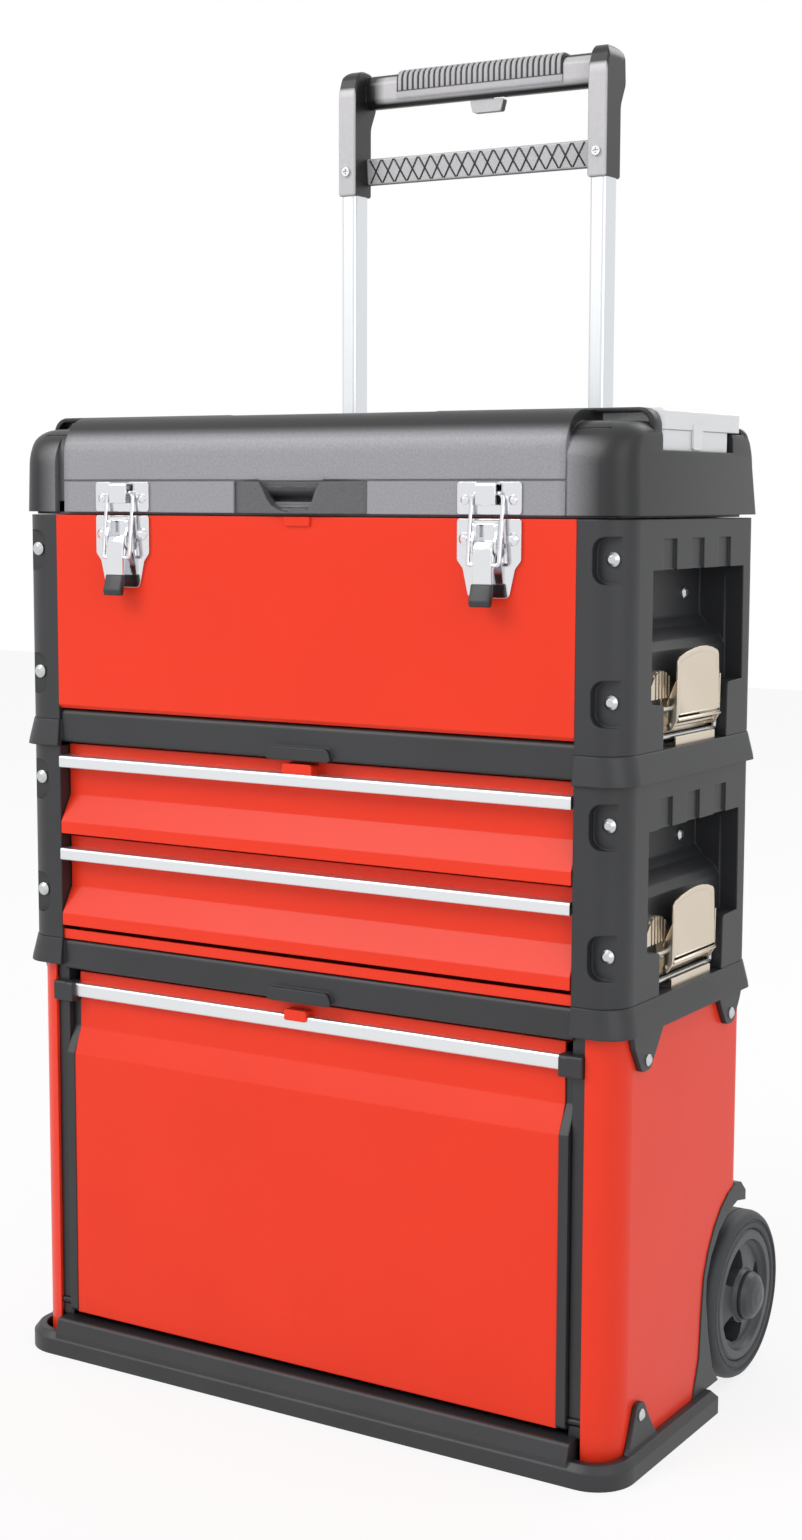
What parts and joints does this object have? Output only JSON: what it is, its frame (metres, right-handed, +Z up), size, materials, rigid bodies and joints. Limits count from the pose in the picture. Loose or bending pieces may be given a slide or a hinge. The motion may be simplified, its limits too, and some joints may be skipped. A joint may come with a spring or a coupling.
{
  "type": "modular tool trolley",
  "caption": "Wheeled modular tool trolley: a tilting bin below, a two-drawer box, a lidded tool box and a telescopic pull handle",
  "frame": {"origin": "on the floor under the middle of the base, in the plane of symmetry", "axes": "+X to the trolley's right as seen from the front, +Y from the front to the back, +Z up"},
  "size_m": [0.524, 0.3189, 1.006],
  "materials": {
    "red_enamel": "gloss orange-red baked enamel on sheet steel",
    "black_moulding": "black ABS, fine pebbled texture",
    "satin_aluminium": "satin anodised extrusion",
    "bright_steel": "zinc plated steel",
    "latch_nickel": "warm nickel plate, lightly brushed",
    "latch_chrome": "polished chrome plate",
    "organiser_clear": "milky translucent polypropylene",
    "wheel_plastic": "dark grey polypropylene",
    "wheel_rubber": "dark grey rubber tyre",
    "grip_rubber": "ribbed black soft grip"
  },
  "bodies": {
    "base": {"base_tray": "black_moulding", "lower_shell": "red_enamel", "lower_frame": "black_moulding", "wheel_arches": "black_moulding", "axles": "wheel_plastic", "handle_guides": "black_moulding", "lower_rivets": "bright_steel", "lower_catches": "latch_nickel", "bin_pins": "bright_steel"},
    "wheel_right": {"wheel_rim_right": "wheel_plastic", "wheel_tyre_right": "wheel_rubber"},
    "wheel_left": {"wheel_rim_left": "wheel_plastic", "wheel_tyre_left": "wheel_rubber"},
    "bin": {"bin_front": "red_enamel", "bin_bar": "satin_aluminium", "bin_cheeks": "black_moulding", "bin_tray": "red_enamel"},
    "mid_box": {"mid_case": "red_enamel", "drawer_runners": "bright_steel", "mid_caps": "black_moulding", "mid_frame": "black_moulding", "mid_rivets": "bright_steel", "mid_catches": "latch_nickel", "mid_latch_bases": "latch_nickel"},
    "drawer_upper": {"drawer_bar_upper": "satin_aluminium", "drawer_front_upper": "red_enamel", "drawer_tray_upper": "bright_steel"},
    "drawer_lower": {"drawer_bar_lower": "satin_aluminium", "drawer_front_lower": "red_enamel", "drawer_tray_lower": "bright_steel"},
    "top_box": {"top_case": "red_enamel", "top_caps": "black_moulding", "top_rivets": "bright_steel", "top_latch_bases": "latch_nickel", "front_latch_bases": "latch_chrome", "hinge_pin": "bright_steel"},
    "lid": {"lid_shell": "black_moulding", "lid_keepers": "latch_chrome", "organiser_boxes": "organiser_clear"},
    "organiser_cover_right": {"organiser_cover_right": "organiser_clear"},
    "organiser_cover_left": {"organiser_cover_left": "organiser_clear"},
    "carry_handle": {"carry_handle": "black_moulding"},
    "pull_handle": {"handle_tubes": "satin_aluminium", "handle_yoke": "black_moulding", "grip_insert": "grip_rubber", "handle_screws": "bright_steel"},
    "release": {"release_button": "black_moulding", "release_rods": "bright_steel"},
    "front_lever_right": {"front_lever_right": "latch_chrome"},
    "front_bail_right": {"front_bail_right": "latch_chrome"},
    "mid_lever_right": {"mid_lever_right": "latch_nickel"},
    "mid_bail_right": {"mid_bail_right": "latch_nickel"},
    "top_lever_right": {"top_lever_right": "latch_nickel"},
    "top_bail_right": {"top_bail_right": "latch_nickel"},
    "front_lever_left": {"front_lever_left": "latch_chrome"},
    "front_bail_left": {"front_bail_left": "latch_chrome"},
    "mid_lever_left": {"mid_lever_left": "latch_nickel"},
    "mid_bail_left": {"mid_bail_left": "latch_nickel"},
    "top_lever_left": {"top_lever_left": "latch_nickel"},
    "top_bail_left": {"top_bail_left": "latch_nickel"}
  },
  "joints": [
    {"name": "wheel_spin_right", "type": "hinge", "parent": "base", "child": "wheel_right", "pos_m": [0.234, 0.129, 0.064], "axis": [1, 0, 0], "continuous": true},
    {"name": "wheel_spin_left", "type": "hinge", "parent": "base", "child": "wheel_left", "pos_m": [-0.234, 0.129, 0.064], "axis": [1, 0, 0], "continuous": true},
    {"name": "bin_tilt", "type": "hinge", "parent": "base", "child": "bin", "pos_m": [0, -0.103, 0.04], "axis": [1, 0, 0], "range_deg": [0, 35]},
    {"name": "mid_lift", "type": "slide", "parent": "base", "child": "mid_box", "axis": [0, 0, 1], "range_m": [0, 0.12]},
    {"name": "top_lift", "type": "slide", "parent": "mid_box", "child": "top_box", "axis": [0, 0, 1], "range_m": [0, 0.12]},
    {"name": "drawer_slide_upper", "type": "slide", "parent": "mid_box", "child": "drawer_upper", "axis": [0, -1, 0], "range_m": [0, 0.15]},
    {"name": "drawer_slide_lower", "type": "slide", "parent": "mid_box", "child": "drawer_lower", "axis": [0, -1, 0], "range_m": [0, 0.15]},
    {"name": "lid_hinge", "type": "hinge", "parent": "top_box", "child": "lid", "pos_m": [0, 0.103, 0.659], "axis": [-1, 0, 0], "range_deg": [0, 32]},
    {"name": "organiser_hinge_right", "type": "hinge", "parent": "lid", "child": "organiser_cover_right", "pos_m": [0.0975, 0, 0.724], "axis": [0, -1, 0], "range_deg": [0, 103]},
    {"name": "organiser_hinge_left", "type": "hinge", "parent": "lid", "child": "organiser_cover_left", "pos_m": [-0.0975, 0, 0.724], "axis": [0, 1, 0], "range_deg": [0, 103]},
    {"name": "carry_handle_fold", "type": "hinge", "parent": "lid", "child": "carry_handle", "pos_m": [0, -0.014, 0.716], "axis": [1, 0, 0], "range_deg": [0, 90]},
    {"name": "handle_slide", "type": "slide", "parent": "base", "child": "pull_handle", "axis": [0, 0, 1], "range_m": [-0.25, 0]},
    {"name": "release_press", "type": "slide", "parent": "pull_handle", "child": "release", "axis": [0, 0, 1], "range_m": [0, 0.0035], "stiffness_N_per_m": 600, "springref_m": -0.002},
    {"name": "front_lever_right_pull", "type": "hinge", "parent": "top_box", "child": "front_lever_right", "pos_m": [0.155, -0.116, 0.6365], "axis": [-1, 0, 0], "range_deg": [0, 40]},
    {"name": "front_bail_right_swing", "type": "hinge", "parent": "front_lever_right", "child": "front_bail_right", "pos_m": [0.155, -0.1193, 0.624], "axis": [-1, 0, 0], "range_deg": [-32, 0]},
    {"name": "mid_lever_right_pull", "type": "hinge", "parent": "mid_box", "child": "mid_lever_right", "pos_m": [0.247, 0.012, 0.345], "axis": [0, 1, 0], "range_deg": [0, 40]},
    {"name": "mid_bail_right_swing", "type": "hinge", "parent": "mid_lever_right", "child": "mid_bail_right", "pos_m": [0.2475, 0.012, 0.357], "axis": [0, 1, 0], "range_deg": [-24, 0]},
    {"name": "top_lever_right_pull", "type": "hinge", "parent": "top_box", "child": "top_lever_right", "pos_m": [0.247, 0.012, 0.514], "axis": [0, 1, 0], "range_deg": [0, 40]},
    {"name": "top_bail_right_swing", "type": "hinge", "parent": "top_lever_right", "child": "top_bail_right", "pos_m": [0.2475, 0.012, 0.526], "axis": [0, 1, 0], "range_deg": [-24, 0]},
    {"name": "front_lever_left_pull", "type": "hinge", "parent": "top_box", "child": "front_lever_left", "pos_m": [-0.155, -0.116, 0.6365], "axis": [-1, 0, 0], "range_deg": [0, 40]},
    {"name": "front_bail_left_swing", "type": "hinge", "parent": "front_lever_left", "child": "front_bail_left", "pos_m": [-0.155, -0.1193, 0.624], "axis": [-1, 0, 0], "range_deg": [-32, 0]},
    {"name": "mid_lever_left_pull", "type": "hinge", "parent": "mid_box", "child": "mid_lever_left", "pos_m": [-0.247, 0.012, 0.345], "axis": [0, -1, 0], "range_deg": [0, 40]},
    {"name": "mid_bail_left_swing", "type": "hinge", "parent": "mid_lever_left", "child": "mid_bail_left", "pos_m": [-0.2475, 0.012, 0.357], "axis": [0, -1, 0], "range_deg": [-24, 0]},
    {"name": "top_lever_left_pull", "type": "hinge", "parent": "top_box", "child": "top_lever_left", "pos_m": [-0.247, 0.012, 0.514], "axis": [0, -1, 0], "range_deg": [0, 40]},
    {"name": "top_bail_left_swing", "type": "hinge", "parent": "top_lever_left", "child": "top_bail_left", "pos_m": [-0.2475, 0.012, 0.526], "axis": [0, -1, 0], "range_deg": [-24, 0]}
  ],
  "couplings": [
    {"joint": "front_bail_right_swing", "follows": "front_lever_right_pull", "ratio": -0.781},
    {"joint": "mid_bail_right_swing", "follows": "mid_lever_right_pull", "ratio": -0.423},
    {"joint": "top_bail_right_swing", "follows": "top_lever_right_pull", "ratio": -0.423},
    {"joint": "front_bail_left_swing", "follows": "front_lever_left_pull", "ratio": -0.781},
    {"joint": "mid_bail_left_swing", "follows": "mid_lever_left_pull", "ratio": -0.423},
    {"joint": "top_bail_left_swing", "follows": "top_lever_left_pull", "ratio": -0.423}
  ]
}
